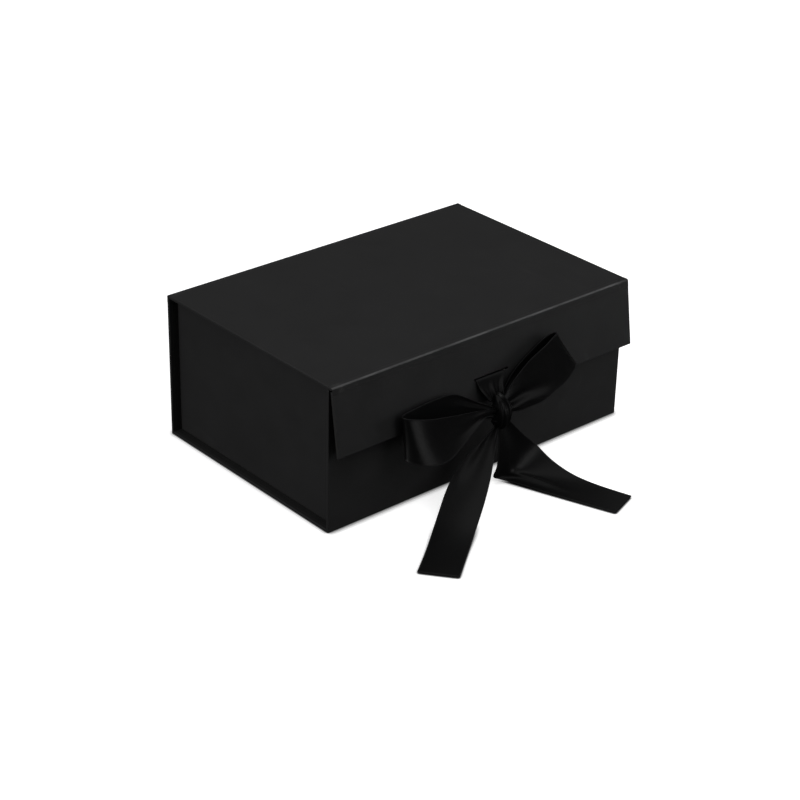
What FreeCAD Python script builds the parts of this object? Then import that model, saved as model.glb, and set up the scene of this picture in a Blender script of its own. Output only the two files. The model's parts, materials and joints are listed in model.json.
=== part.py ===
import FreeCAD, Part
import os

# Rigid gift box with a hinged lid, a front flap and a ribbon bow tied through a slot in the flap.
#
# Frame: millimetres. The origin is the middle of the base's underside, X runs along the long
# front, -Y points out of the front wall and +Z is up. One sheet of wrapping paper carries five
# board panels in a row: front wall, base, spine, lid and flap. Two side walls stand inside them,
# set back from the panels' ends, and are taped to the front wall and the spine by corner tabs.
# The lid folds about the spine's top edge, and the flap folds about the lid's front edge.

os.makedirs("parts", exist_ok=True)

# Overall sizes
box_width = 250.0
box_depth = 163.0
box_height = 100.0
flap_height = 45.0
flap_lean = 8.5

# Board and paper
board = 1.6
paper = 0.2
panel = board + 2 * paper
side_recess = 6.5
fold_reach = 3.0

# Clearances
lid_gap = 0.3
fold_gap = 0.3
crease_gap = 0.4
pocket_gap = 0.1

# Corner tabs and their tape
tab_width = 20.0
tab_board = 0.8
tab_margin = 8.0
tape = 0.2
tape_margin = 3.0

# Magnets in the flap and catch discs in the front wall
magnet_radius = 6.0
magnet_thickness = 1.0
magnet_spacing = 160.0
magnet_drop = 18.0

# Ribbon
ribbon_width = 25.0
ribbon = 0.5
slot_room = 4.0
slot_height = 1.6
slot_drop = 28.6
slot_length = ribbon_width + slot_room
anchor_length = 20.0
knot_x = -3.0
knot_out = 8.0
knot_drop = 50.0
knot_width = 13.0
knot_half_height = 11.0
knot_half_depth = 6.0
left_loop_length = 75.0
left_loop_tilt = 3.0
right_loop_length = 62.0
right_loop_tilt = 26.0
loop_roll = 15.0
loop_front = 15.5
loop_back = 4.8
loop_root_half = 4.5
loop_flare = 36.0
loop_handle = 0.35
tail_band = 0.6
tail_pivot_drop = 55.0
tail_pivot_room = 9.0
tail_root_width = 7.0
tail_gap = 0.8
tail_lift = 0.6
tail_setback = 2.5
left_tail_length = 103.0
left_tail_flat = 38.0
left_tail_turn = 216.7
left_tail_start = -22.0
right_tail_length = 76.0
right_tail_turn = 288.5
right_tail_start = 13.0

# Places worked out from the sizes above
half_width = box_width / 2
half_depth = box_depth / 2
inner_y = half_depth - panel
wall_top = box_height - panel - lid_gap
side_outer = half_width - side_recess
side_inner = side_outer - panel
flap_fold_y = -half_depth - fold_reach
lid_front = flap_fold_y + paper + fold_gap
lid_back = half_depth - paper - fold_gap
flap_top = panel + crease_gap
magnet_pocket = magnet_thickness + pocket_gap

X = FreeCAD.Vector(1, 0, 0)
Y = FreeCAD.Vector(0, 1, 0)
Z = FreeCAD.Vector(0, 0, 1)


def export(name, shape):
    """Write one named sub-part."""
    shape.exportStep("parts/" + name + ".step")


def block(low, high):
    """An upright box between two corners."""
    size = [b - a for a, b in zip(low, high)]
    return Part.makeBox(size[0], size[1], size[2], FreeCAD.Vector(*low))


def wrapped_panel(low, high, axis, outward):
    """A board with paper over its outer face and four edges, and a liner on its inner face.

    axis is the panel's thin direction, 0 to 2, and outward says which way along it the outer
    face looks. Returns the board, the wrap and the liner.
    """
    core_low = [v + paper for v in low]
    core_high = [v - paper for v in high]
    wrap_low, wrap_high = list(low), list(high)
    liner_low, liner_high = list(low), list(high)
    if outward > 0:
        liner_high[axis] = low[axis] + paper
        wrap_low[axis] = low[axis] + paper
    else:
        liner_low[axis] = high[axis] - paper
        wrap_high[axis] = high[axis] - paper
    core = block(core_low, core_high)
    wrap = block(wrap_low, wrap_high).cut(core)
    liner = block(liner_low, liner_high)
    return core, wrap, liner


def flap_point(x, out, drop):
    """A point in front of the upright flap: out from its outer face, drop below its fold."""
    return FreeCAD.Vector(x, flap_fold_y - out, box_height - drop)


def lean(shape):
    """Swing a shape made on the upright flap out to the angle at which the flap rests."""
    return shape.rotated(FreeCAD.Vector(0, flap_fold_y, box_height), X, -flap_lean)


def leaned(point):
    """The place of a point of the upright flap once the flap leans out."""
    turn = FreeCAD.Rotation(X, -flap_lean)
    fold = FreeCAD.Vector(0, flap_fold_y, box_height)
    return fold + turn.multVec(point - fold)


def disc(x, y_low, thickness, radius, z):
    """A flat disc that lies in an upright panel."""
    return Part.makeCylinder(radius, thickness, FreeCAD.Vector(x, y_low, z), Y)


def prism(points, direction):
    """A polygon of vectors carried along a direction."""
    face = Part.Face(Part.makePolygon(points + [points[0]]))
    return face.extrude(direction)


# The tray: base, front wall, spine and side walls
base_board, base_wrap, base_liner = wrapped_panel(
    [-half_width, -inner_y, 0], [half_width, inner_y, panel], 2, -1)
front_board, front_wrap, front_liner = wrapped_panel(
    [-half_width, -half_depth, 0], [half_width, -inner_y, wall_top], 1, -1)
spine_board, spine_wrap, spine_liner = wrapped_panel(
    [-half_width, inner_y, 0], [half_width, half_depth, wall_top], 1, 1)

# The spine's paper carries on past its board to the lid's fold
spine_lip = block(
    [-half_width, half_depth - paper, wall_top], [half_width, half_depth, box_height - fold_gap])
spine_wrap = spine_wrap.fuse(spine_lip).removeSplitter()

export("base_board", base_board)
export("base_wrap", base_wrap)
export("base_liner", base_liner)
export("front_wrap", front_wrap)
export("front_liner", front_liner)
export("spine_board", spine_board)
export("spine_wrap", spine_wrap)
export("spine_liner", spine_liner)

for side, sign in (("left", -1), ("right", 1)):
    x_low = min(sign * side_inner, sign * side_outer)
    x_high = max(sign * side_inner, sign * side_outer)
    side_board, side_wrap, side_liner = wrapped_panel(
        [x_low, -inner_y, panel], [x_high, inner_y, wall_top], 0, sign)
    export(side + "_side_board", side_board)
    export(side + "_side_wrap", side_wrap)
    export(side + "_side_liner", side_liner)

# Corner tabs fold in from the side walls' ends, each stuck down by a strip of tape
tab_low = panel + tab_margin
tab_high = wall_top - tab_margin
for side, sign in (("left", -1), ("right", 1)):
    for place, wall_y, inward in (("front", -inner_y, 1), ("back", inner_y, -1)):
        tape_face = wall_y + inward * tape
        tab_face = tape_face + inward * tab_board
        tab_end = sign * (side_inner - tab_width)
        tape_start = sign * (side_inner - tape_margin)
        tape_end = sign * (side_inner - tab_width + tape_margin)
        tab_x = sorted((sign * side_inner, tab_end))
        tape_x = sorted((tape_start, tape_end))
        tab_y = sorted((tape_face, tab_face))
        tape_y = sorted((wall_y, tape_face))
        tab = block([tab_x[0], tab_y[0], tab_low], [tab_x[1], tab_y[1], tab_high])
        strip = block([tape_x[0], tape_y[0], tab_low + tape_margin],
                      [tape_x[1], tape_y[1], tab_high - tape_margin])
        export(place + "_" + side + "_tab", tab)
        export(place + "_" + side + "_tape", strip)

# Steel discs let into the front wall's board, behind its paper
disc_z = box_height - magnet_drop
for side, sign in (("left", -1), ("right", 1)):
    disc_x = sign * magnet_spacing / 2
    disc_y = -half_depth + paper
    front_board = front_board.cut(
        disc(disc_x, disc_y, magnet_pocket, magnet_radius + pocket_gap, disc_z))
    export(side + "_catch_disc", disc(disc_x, disc_y, magnet_thickness, magnet_radius, disc_z))
export("front_board", front_board)

# The lid
lid_board, lid_wrap, lid_liner = wrapped_panel(
    [-half_width, lid_front, box_height - panel], [half_width, lid_back, box_height], 2, 1)
export("lid_board", lid_board)
export("lid_wrap", lid_wrap)
export("lid_liner", lid_liner)

# The flap, made upright and then leaned out, with a slot for the ribbon and two magnet pockets
flap_inner = flap_fold_y + panel
flap_board, flap_wrap, flap_liner = wrapped_panel(
    [-half_width, flap_fold_y, box_height - flap_height],
    [half_width, flap_inner, box_height - flap_top], 1, -1)
flap_lip = block([-half_width, flap_fold_y, box_height - flap_top],
                 [half_width, flap_fold_y + paper, box_height - fold_gap])
flap_wrap = flap_wrap.fuse(flap_lip).removeSplitter()
slot = block(
    [-slot_length / 2, flap_fold_y - panel, box_height - slot_drop - slot_height / 2],
    [slot_length / 2, flap_inner + panel, box_height - slot_drop + slot_height / 2])
for side, sign in (("left", -1), ("right", 1)):
    magnet_x = sign * magnet_spacing / 2
    magnet_y = flap_inner - paper - magnet_thickness
    pocket_y = flap_inner - paper - magnet_pocket
    flap_board = flap_board.cut(
        disc(magnet_x, pocket_y, magnet_pocket, magnet_radius + pocket_gap, disc_z))
    magnet = disc(magnet_x, magnet_y, magnet_thickness, magnet_radius, disc_z)
    export(side + "_magnet", lean(magnet))
export("flap_board", lean(flap_board.cut(slot)))
export("flap_wrap", lean(flap_wrap.cut(slot)))
export("flap_liner", lean(flap_liner.cut(slot)))

# The ribbon's end is glued inside the flap, and a strap of it comes out through the slot
half_ribbon = ribbon_width / 2
strap_low = slot_drop + ribbon / 2
anchor = block(
    [-half_ribbon, flap_inner, box_height - strap_low],
    [half_ribbon, flap_inner + ribbon, box_height - strap_low + anchor_length])
export("ribbon_anchor", lean(anchor))

knot_top = knot_drop - knot_half_height
strap_outline = [
    flap_point(-half_ribbon, -panel, strap_low - ribbon),
    flap_point(-half_ribbon, ribbon, strap_low - ribbon),
    flap_point(-half_ribbon, knot_out, knot_top + ribbon),
    flap_point(-half_ribbon, knot_out - ribbon, knot_top + 2 * ribbon),
    flap_point(-half_ribbon, ribbon, strap_low + ribbon),
    flap_point(-half_ribbon, 0, strap_low),
    flap_point(-half_ribbon, -panel, strap_low)]
strap = prism(strap_outline, X * ribbon_width)
strap_taper = prism([
    flap_point(-half_ribbon, -panel, strap_low - ribbon),
    flap_point(half_ribbon, -panel, strap_low - ribbon),
    flap_point(half_ribbon, -panel, strap_low + ribbon),
    flap_point(knot_x + knot_width / 2, -panel, knot_top + 3 * ribbon),
    flap_point(knot_x - knot_width / 2, -panel, knot_top + 3 * ribbon),
    flap_point(-half_ribbon, -panel, strap_low + ribbon)], -Y * (panel + 2 * knot_out))
strap = strap.common(strap_taper)

# The knot is an elliptical roll of ribbon across the front of the bow
knot_centre = flap_point(knot_x - knot_width / 2, knot_out, knot_drop)
knot_ellipse = Part.Ellipse(
    knot_centre + Z * knot_half_height, knot_centre - Y * knot_half_depth, knot_centre)
knot = Part.Face(Part.Wire(knot_ellipse.toShape())).extrude(X * knot_width)
export("bow_knot", lean(knot))
export("ribbon_strap", lean(strap.cut(knot)))


def loop(length, tilt, sign):
    """A flattened loop of ribbon: a band that leaves the knot, turns round and comes back.

    In plan it is two cubic curves that meet in a round end. It is carried over the ribbon's
    width, narrowed towards the knot, rolled so that its top leans on the flap, and tilted.
    """
    end_out = (loop_front + loop_back) / 2
    turn = (loop_front - loop_back) / 2

    def band(root_u, root_front, root_back, shrink):
        """One closed outline of the loop in plan, moved inwards by shrink."""
        far = length - shrink
        front = loop_front - shrink
        back = loop_back + shrink
        near = loop_handle * length
        out_poles = [(root_u, root_front), (near, front), (far, front + turn), (far, end_out)]
        back_poles = [(far, end_out), (far, back - turn), (near, back), (root_u, root_back)]
        edges = []
        for poles in (out_poles, back_poles):
            curve = Part.BezierCurve()
            curve.setPoles([FreeCAD.Vector(sign * u, -v, 0) for u, v in poles])
            edges.append(curve.toShape())
        if root_front != root_back:
            ends = [FreeCAD.Vector(0, -v, 0) + X * sign * root_u for v in (root_back, root_front)]
            edges.append(Part.LineSegment(ends[0], ends[1]).toShape())
        return Part.Face(Part.Wire(edges))

    outer = band(0, knot_out + 2 * ribbon, knot_out - 2 * ribbon, 0)
    inner = band(loop_flare / 3, knot_out + ribbon / 2, knot_out + ribbon / 2, ribbon)
    height = Z * ribbon_width
    ring = outer.extrude(height).cut(inner.extrude(height))
    ring.translate(Z * -half_ribbon)
    flare = prism([FreeCAD.Vector(sign * u, -2 * loop_front, w) for u, w in (
        (0, -loop_root_half), (loop_flare, -half_ribbon), (length, -half_ribbon),
        (length, half_ribbon), (loop_flare, half_ribbon), (0, loop_root_half))],
        Y * 4 * loop_front)
    ring = ring.common(flare)
    origin = FreeCAD.Vector(0, -knot_out, 0)
    ring = ring.rotated(origin, X, -loop_roll)
    ring = ring.rotated(origin, Y, -sign * tilt)
    root = FreeCAD.Vector(knot_x + sign * knot_width / 2, flap_fold_y, box_height - knot_drop)
    ring.translate(root)
    return lean(ring.cut(knot))


export("left_loop", loop(left_loop_length, left_loop_tilt, -1))
export("right_loop", loop(right_loop_length, right_loop_tilt, 1))

# Each tail hangs from the knot and runs forward on the floor. The left one slopes out to it
tail_pivot = leaned(flap_point(knot_x, knot_out, tail_pivot_drop))
tail_y = tail_pivot.y + tail_setback
tail_top = tail_pivot.z - tail_pivot_room


def on_floor(shape, turn, start_x):
    """A shape drawn along X, turned to the way a tail runs and moved to where it starts."""
    placed = shape.rotated(FreeCAD.Vector(0, 0, 0), Z, turn)
    placed.translate(FreeCAD.Vector(start_x, tail_y, 0))
    return placed


def floor_strip(start, length):
    """A flat strip of ribbon along X."""
    return Part.makeBox(length, ribbon_width, tail_band, FreeCAD.Vector(start, -half_ribbon, tail_lift))


def left_tail():
    """A panel that slopes out from the knot and widens, then lies flat for its last part."""
    inner_x = knot_x - tail_gap / 2
    outer_x = inner_x - tail_root_width
    low, high = tail_top - tail_band, tail_top
    root = Part.makePolygon([FreeCAD.Vector(x, tail_y, z) for x, z in (
        (outer_x, low), (inner_x, low), (inner_x, high), (outer_x, high), (outer_x, low))])
    meets = left_tail_length - left_tail_flat
    low, high = tail_lift, tail_lift + tail_band
    foot = Part.makePolygon([FreeCAD.Vector(meets, y, z) for y, z in (
        (-half_ribbon, low), (half_ribbon, low), (half_ribbon, high), (-half_ribbon, high),
        (-half_ribbon, low))])
    foot = on_floor(foot, left_tail_turn, left_tail_start)
    slope = Part.makeLoft([root, foot], True, True)
    strip = on_floor(floor_strip(meets, left_tail_flat), left_tail_turn, left_tail_start)
    return slope.fuse(strip)


def right_tail():
    """A hanging panel that widens to the ribbon's width, joined to a strip on the floor."""
    inner_x = knot_x + tail_gap / 2
    hanging = prism([
        FreeCAD.Vector(inner_x, tail_y, tail_top),
        FreeCAD.Vector(inner_x + tail_root_width, tail_y, tail_top),
        FreeCAD.Vector(inner_x + ribbon_width, tail_y, tail_lift),
        FreeCAD.Vector(inner_x, tail_y, tail_lift)], Y * tail_band)
    strip = on_floor(floor_strip(0, right_tail_length), right_tail_turn, right_tail_start)
    return hanging.fuse(strip).removeSplitter()


export("left_tail", left_tail())
export("right_tail", right_tail())
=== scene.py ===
import json
import math

import bpy
import numpy as np
from bpy.props import FloatProperty, FloatVectorProperty, IntProperty, PointerProperty
from mathutils import Matrix, Vector


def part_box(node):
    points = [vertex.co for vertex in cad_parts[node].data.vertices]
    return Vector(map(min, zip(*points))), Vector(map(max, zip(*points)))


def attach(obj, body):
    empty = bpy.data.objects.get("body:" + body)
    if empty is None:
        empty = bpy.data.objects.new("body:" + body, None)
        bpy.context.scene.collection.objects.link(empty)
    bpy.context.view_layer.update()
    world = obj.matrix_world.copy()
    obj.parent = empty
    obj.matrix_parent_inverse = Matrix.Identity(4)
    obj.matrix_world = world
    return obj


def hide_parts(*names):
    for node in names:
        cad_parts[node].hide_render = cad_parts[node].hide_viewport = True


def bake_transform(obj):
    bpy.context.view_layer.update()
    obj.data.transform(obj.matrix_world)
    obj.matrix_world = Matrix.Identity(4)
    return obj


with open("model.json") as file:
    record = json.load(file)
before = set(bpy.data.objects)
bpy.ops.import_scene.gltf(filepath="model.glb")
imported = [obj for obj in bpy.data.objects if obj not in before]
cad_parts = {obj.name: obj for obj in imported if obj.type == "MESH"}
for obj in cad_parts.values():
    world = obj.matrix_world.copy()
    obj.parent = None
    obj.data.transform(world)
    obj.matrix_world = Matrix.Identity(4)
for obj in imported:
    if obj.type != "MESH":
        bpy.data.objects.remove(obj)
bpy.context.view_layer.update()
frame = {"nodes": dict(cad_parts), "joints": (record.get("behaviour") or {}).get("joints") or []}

bl_info = {
    "name": "Ribbon gift box",
    "version": (1, 0, 0),
    "blender": (4, 5, 0),
    "location": "View3D > Sidebar > Gift Box",
    "description": "Builds a paper-wrapped gift box with a folding lid, a flap and a tied satin bow",
    "category": "Object",
}

NODES = frame["nodes"]
HINGES = {joint["name"]: joint for joint in frame["joints"]}

MM = 0.001
FOLD_Y = HINGES["flap_hinge"]["pos_m"][1] / MM
FOLD_Z = HINGES["flap_hinge"]["pos_m"][2] / MM
SPINE_Y = HINGES["lid_hinge"]["pos_m"][1] / MM
FLAP_LEAN = math.radians(8.5)
FLAP_HEIGHT = 45.0
FLAP_TOP = 2.4
PANEL = 2.0
PAPER = 0.2
TURN_IN = 0.12
LINING_SINK = 0.02
LINING_RADIUS = 0.045
CREASE_PROUD = 0.03
CREASE_ROUND = 0.75
CREASE_INSET = 0.12
SLOT_LENGTH = 29.0
SLOT_HEIGHT = 1.6
SLOT_DROP = 28.6
BEAD_REACH = 0.45


# ---------------------------------------------------------------- settings


class PaperSettings(bpy.types.PropertyGroup):
    """Sizes and colours of the wrapped panels."""

    wrap_colour: FloatVectorProperty(
        name="Wrap colour", description="Colour of the matt paper outside", subtype="COLOR",
        size=4, min=0.0, max=1.0, default=(0.0165, 0.0165, 0.0168, 1.0))
    lining_colour: FloatVectorProperty(
        name="Lining colour", description="Colour of the paper inside", subtype="COLOR",
        size=4, min=0.0, max=1.0, default=(0.0105, 0.0104, 0.0102, 1.0))
    edge_radius: FloatProperty(
        name="Edge radius", description="How round the paper runs over a board's edge",
        default=0.4 * MM, min=0.1 * MM, max=0.9 * MM, unit="LENGTH")
    lining_margin: FloatProperty(
        name="Lining margin", description="How far the lining stops short of a panel's edge",
        default=2.6 * MM, min=0.5 * MM, max=10 * MM, unit="LENGTH")
    crease_reach: FloatProperty(
        name="Crease reach", description="How far a fold's paper runs onto each panel",
        default=3.4 * MM, min=2 * MM, max=8 * MM, unit="LENGTH")


class RibbonSettings(bpy.types.PropertyGroup):
    """Sizes and colours of the satin ribbon."""

    colour: FloatVectorProperty(
        name="Ribbon colour", description="Colour of the satin", subtype="COLOR",
        size=4, min=0.0, max=1.0, default=(0.0020, 0.0020, 0.0021, 1.0))
    # The tails' satin is a lighter copy of the bow's satin: a painted sheen for the light the tails catch.
    tail_painted_sheen_colour: FloatVectorProperty(
        name="Tail colour with painted sheen", description="Colour of the tails' satin, made lighter as a painted sheen", subtype="COLOR",
        size=4, min=0.0, max=1.0, default=(0.0030, 0.0030, 0.0031, 1.0))
    width: FloatProperty(
        name="Width", description="Width of the ribbon",
        default=25 * MM, min=10 * MM, max=40 * MM, unit="LENGTH")
    thickness: FloatProperty(
        name="Thickness", description="Thickness of the satin",
        default=0.28 * MM, min=0.1 * MM, max=0.8 * MM, unit="LENGTH")
    bead: FloatProperty(
        name="Selvedge", description="Extra thickness of the woven edge",
        default=0.22 * MM, min=0.0, max=0.6 * MM, unit="LENGTH")
    rows_per_cm: IntProperty(
        name="Rows per cm", description="Mesh rows along a centimetre of ribbon",
        default=9, min=2, max=20)


class StageSettings(bpy.types.PropertyGroup):
    """Floor, light and camera."""

    floor_colour: FloatVectorProperty(
        name="Floor colour", description="Colour of the floor", subtype="COLOR",
        size=4, min=0.0, max=1.0, default=(0.93, 0.93, 0.93, 1.0))
    world_strength: FloatProperty(
        name="Ceiling light", description="Strength of the light from the white ceiling",
        default=0.62, min=0.0, max=5.0)
    wall_strength: FloatProperty(
        name="Room light", description="Strength of the light from all round",
        default=0.06, min=0.0, max=5.0)
    front_power: FloatProperty(
        name="Front light", description="Power of the soft light in front of the box",
        default=7.2, min=0.0, max=500.0, unit="POWER")
    card_power: FloatProperty(
        name="Front card", description="Power of the card that only shows as a sheen on the satin",
        default=2.4, min=0.0, max=500.0, unit="POWER")
    right_power: FloatProperty(
        name="Right light", description="Power of the low light at the box's right",
        default=2.1, min=0.0, max=500.0, unit="POWER")
    left_power: FloatProperty(
        name="Left light", description="Power of the soft light at the box's left",
        default=11.5, min=0.0, max=500.0, unit="POWER")
    top_power: FloatProperty(
        name="Top light", description="Power of the soft light above the box",
        default=0.8, min=0.0, max=500.0, unit="POWER")
    lens: FloatProperty(
        name="Lens", description="Focal length of the camera on a 36 mm sensor",
        default=92.9, min=20.0, max=300.0)


# ---------------------------------------------------------------- meshes


def make_piece(name, points, faces, flat=None, uv=None):
    """A mesh object from points in millimetres, with its faces turned outwards.

    The signed volume is a sixth of the sum of each triangle's corner product; where it comes out
    negative, every face is turned round. flat marks the faces that are shaded flat.
    """
    mesh = bpy.data.meshes.new(name)
    mesh.from_pydata((np.asarray(points) * MM).tolist(), [], faces)
    smooth = np.ones(len(mesh.polygons), bool)
    if flat is not None:
        smooth[:] = ~flat
    mesh.polygons.foreach_set("use_smooth", smooth)
    if uv is not None:
        corner = np.zeros(len(mesh.loops), np.int32)
        mesh.loops.foreach_get("vertex_index", corner)
        layer = mesh.uv_layers.new(name="UVMap")
        layer.data.foreach_set("uv", np.asarray(uv, np.float32)[corner].ravel())
    mesh.calc_loop_triangles()
    corners = np.zeros(len(mesh.loop_triangles) * 3, np.int32)
    mesh.loop_triangles.foreach_get("vertices", corners)
    spot = (np.asarray(points) * MM)[corners].reshape(-1, 3, 3)
    volume = np.einsum("ij,ij->i", spot[:, 0], np.cross(spot[:, 1], spot[:, 2])).sum()
    if volume < 0:
        mesh.flip_normals()
    mesh.update()
    piece = bpy.data.objects.new(name, mesh)
    bpy.context.scene.collection.objects.link(piece)
    return piece


def ring_faces(rings, count, closed):
    """Quads between neighbouring rings of count points each, the last joined to the first if closed."""
    start = np.arange(rings if closed else rings - 1)[:, None] * count
    here = np.arange(count)[None, :]
    ahead = (here + 1) % count
    after = (start + count) % (rings * count)
    quads = np.stack([start + here, start + ahead, after + ahead, after + here], -1)
    return quads.reshape(-1, 4).tolist()


def strip_faces(rows, columns):
    """Faces of a thin closed strip: rings of one face's points and the other's in reverse, capped."""
    count = 2 * columns
    j = np.arange(columns - 1)
    cap = np.stack([j, count - 1 - j, count - 2 - j, j + 1], -1)
    far = cap[:, ::-1] + (rows - 1) * count
    return ring_faces(rows, count, False) + cap.tolist() + far.tolist()


def run_along(points):
    """How far along a line of points each one is: the running sum of the gaps between them."""
    return np.concatenate([[0], np.cumsum(np.linalg.norm(np.diff(points, axis=0), axis=1))])


def rounded_outline(half_a, half_b, radius, arc=5, a_steps=1, b_steps=1):
    """Points round a rectangle with round corners, as an array of (a, b).

    Each corner is a quarter circle of that radius about a centre set in from both sides, and each
    side between two corners is cut into equal steps.
    """
    centres = [(1, 1), (-1, 1), (-1, -1), (1, -1)]
    angles = np.linspace(0, math.pi / 2, arc + 1)
    corners = []
    for quarter, (side_a, side_b) in enumerate(centres):
        turn = angles + quarter * math.pi / 2
        corners.append(np.stack([
            side_a * (half_a - radius) + radius * np.cos(turn),
            side_b * (half_b - radius) + radius * np.sin(turn)], -1))
    outline = []
    for quarter, corner in enumerate(corners):
        following = corners[(quarter + 1) % 4]
        steps = a_steps if quarter % 2 == 0 else b_steps
        share = (np.arange(1, steps) / steps)[:, None]
        outline += [corner, corner[-1] + (following[0] - corner[-1]) * share]
    return np.concatenate(outline)


def inset_outline(half_a, half_b, radius, inset, arc=5, a_steps=1, b_steps=1):
    """A rounded outline set in on every side, whose corners never quite close to a point."""
    left_over = max(radius - inset, 0.12 * radius)
    return rounded_outline(half_a - inset, half_b - inset, left_over, arc, a_steps, b_steps)


def axis_flat(points, faces):
    """True for each face whose normal lies along an axis, worked out from its first three corners."""
    first = np.array([face[:3] for face in faces])
    spot = np.asarray(points)[first]
    normal = np.cross(spot[:, 1] - spot[:, 0], spot[:, 2] - spot[:, 0])
    length = np.maximum(np.linalg.norm(normal, axis=1), 1e-12)
    return np.abs(normal).max(axis=1) / length > 0.9999


def end_rounding(radius, steps):
    """(inset, advance) pairs that carry an outline round a quarter circle from a flat end."""
    turn = np.linspace(0, math.pi / 2, steps + 1)
    return radius * (1 - np.sin(turn)), radius * (1 - np.cos(turn))


def slab(name, low, high, radius, steps=4):
    """A board with every edge rounded: a rounded outline in Y and Z, carried along X.

    At each end the outline is set in by radius times one less the sine of an angle while it moves
    along X by radius times one less the cosine, and a flat face closes it.
    """
    low, high = np.asarray(low, float), np.asarray(high, float)
    middle, half = (low + high) / 2, (high - low) / 2
    inset, advance = end_rounding(radius, steps)
    inset = np.concatenate([inset, inset[::-1]])
    along = np.concatenate([-half[0] + advance, (half[0] - advance)[::-1]])
    rings = []
    for step_in, x in zip(inset, along):
        outline = inset_outline(half[1], half[2], radius, step_in, steps)
        rings.append(np.column_stack([np.full(len(outline), x), outline]))
    count = len(rings[0])
    points = np.concatenate(rings) + middle
    faces = ring_faces(len(rings), count, False)
    faces.append(list(range(count))[::-1])
    faces.append(list(range((len(rings) - 1) * count, len(rings) * count)))
    return make_piece(name, points, faces, axis_flat(points, faces))


def slot_outline(directions, half_length, half_height):
    """Where rays from the slot's middle meet its outline, two straight lines joined by half circles.

    A ray meets a straight line at half_height over its rise. Where that lies past the straight
    part, it meets the end circle, whose crossing solves a quadratic.
    """
    run, rise = np.abs(directions[:, 0]), np.abs(directions[:, 1])
    straight = half_length - half_height
    flat_reach = half_height / np.maximum(rise, 1e-9)
    dot = run * straight
    round_reach = dot + np.sqrt(np.maximum(dot ** 2 - straight ** 2 + half_height ** 2, 0))
    reach = np.where(flat_reach * run <= straight, flat_reach, round_reach)
    return directions * reach[:, None]


def slotted_plate(name, half_x, low_z, high_z, front_y, back_y, radius, slot_z, slot_half, rim):
    """An upright plate with a rounded slot through it, as one closed ring-shaped surface.

    Loops run from the slot's front rim out to the plate's edge, over its rounded edge to the back
    and in to the slot's back rim. Each point of the slot lies on the ray from the slot's middle to
    its partner on the outline.
    """
    centre_z = (low_z + high_z) / 2
    half_z = (high_z - low_z) / 2
    slot_offset = np.array([0.0, slot_z - centre_z])

    def outline(inset):
        return inset_outline(half_x, half_z, radius, inset, 5, 24, 46)

    rays = outline(0.0) - slot_offset
    rays /= np.linalg.norm(rays, axis=1)[:, None]
    loops = []

    def add(flat_points, y):
        loops.append(np.column_stack([flat_points[:, 0], np.full(len(flat_points), y),
                                      flat_points[:, 1] + centre_z]))

    def slot(grown):
        return slot_outline(rays, slot_half[0] + grown, slot_half[1] + grown) + slot_offset

    inset, advance = end_rounding(radius, 4)
    rim_inset, rim_advance = end_rounding(rim, 3)
    for step, shift in zip(rim_inset[::-1], rim_advance[::-1]):
        add(slot(step), front_y + shift)
    for step, shift in zip(inset, advance):
        add(outline(step), front_y + shift)
    for step, shift in zip(inset[::-1], advance[::-1]):
        add(outline(step), back_y - shift)
    for step, shift in zip(rim_inset, rim_advance):
        add(slot(step), back_y - shift)
    points = np.concatenate(loops)
    faces = ring_faces(len(loops), len(loops[0]), True)
    return make_piece(name, lean(points), faces, axis_flat(points, faces))


def lean(points):
    """Swings points of the upright flap out about its fold by the angle at which it rests."""
    points = np.asarray(points, float)
    cos, sin = math.cos(FLAP_LEAN), math.sin(FLAP_LEAN)
    y, z = points[..., 1] - FOLD_Y, points[..., 2] - FOLD_Z
    return np.stack([points[..., 0], FOLD_Y + y * cos + z * sin, FOLD_Z + z * cos - y * sin], -1)


def on_flap(points):
    """Points given as (x, out of the flap's face, down from its fold) in the row's frame."""
    points = np.asarray(points, float)
    return lean(np.stack([points[..., 0], FOLD_Y - points[..., 1], FOLD_Z - points[..., 2]], -1))


def spline(knots, points, at):
    """A natural cubic spline through points: piecewise cubics whose bend matches at each point.

    The bends solve one set of linear equations, and are zero at both ends.
    """
    points = np.asarray(points, float)
    gaps = np.diff(knots)[:, None]
    count = len(knots)
    matrix = np.eye(count)
    right = np.zeros_like(points)
    inner = np.arange(1, count - 1)
    matrix[inner, inner - 1] = gaps[:-1, 0]
    matrix[inner, inner] = 2 * (gaps[:-1, 0] + gaps[1:, 0])
    matrix[inner, inner + 1] = gaps[1:, 0]
    slope = np.diff(points, axis=0) / gaps
    right[1:-1] = 6 * np.diff(slope, axis=0)
    bend = np.linalg.solve(matrix, right)
    part = np.clip(np.searchsorted(knots, at, side="right") - 1, 0, count - 2)
    gap = gaps[part]
    before = (knots[part + 1] - at)[:, None]
    after = (at - knots[part])[:, None]
    return ((bend[part] * before ** 3 + bend[part + 1] * after ** 3) / (6 * gap)
            + (points[part] / gap - bend[part] * gap / 6) * before
            + (points[part + 1] / gap - bend[part + 1] * gap / 6) * after)


def unit(vectors):
    """Vectors made one long."""
    return vectors / np.maximum(np.linalg.norm(vectors, axis=-1, keepdims=True), 1e-12)


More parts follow.
